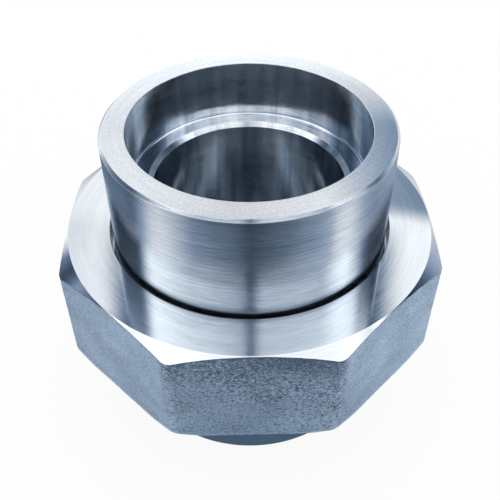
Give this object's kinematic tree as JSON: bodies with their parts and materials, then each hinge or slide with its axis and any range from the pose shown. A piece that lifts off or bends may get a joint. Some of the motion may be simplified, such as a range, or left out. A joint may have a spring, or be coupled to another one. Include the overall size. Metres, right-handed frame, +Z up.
{
  "type": "socket weld union",
  "caption": "Forged steel pipe union with a socket at each end: a thread piece and a tail piece, drawn together on a ball and cone seat by an octagonal nut.",
  "frame": {"origin": "centre of the lower pipe end, on the surface that the union stands on", "axes": "+Z up along the pipe axis, from the thread piece to the tail piece; -Y towards the viewer, square to one flat of the nut"},
  "size_m": [0.0986, 0.0986, 0.086],
  "materials": {
    "turned_steel": "turned",
    "forged_steel": "forged and blasted, turned on its top face and chamfers"
  },
  "bodies": {
    "thread_piece": {"thread_piece": "turned_steel"},
    "tail_piece": {"tail_piece": "turned_steel"},
    "union_nut": {"union_nut": "forged_steel"}
  },
  "joints": [
    {"name": "tail_lift", "type": "slide", "parent": "thread_piece", "child": "tail_piece", "axis": [0, 0, 1], "range_m": [0, 0.01524]},
    {"name": "nut_turn", "type": "hinge", "parent": "tail_piece", "child": "union_nut", "pos_m": [0, 0, 0.041], "axis": [0, 0, 1], "range_deg": [0, 2160]}
  ],
  "couplings": [
    {"joint": "tail_lift", "follows": "nut_turn", "m_per_rad": 0.00040425}
  ]
}
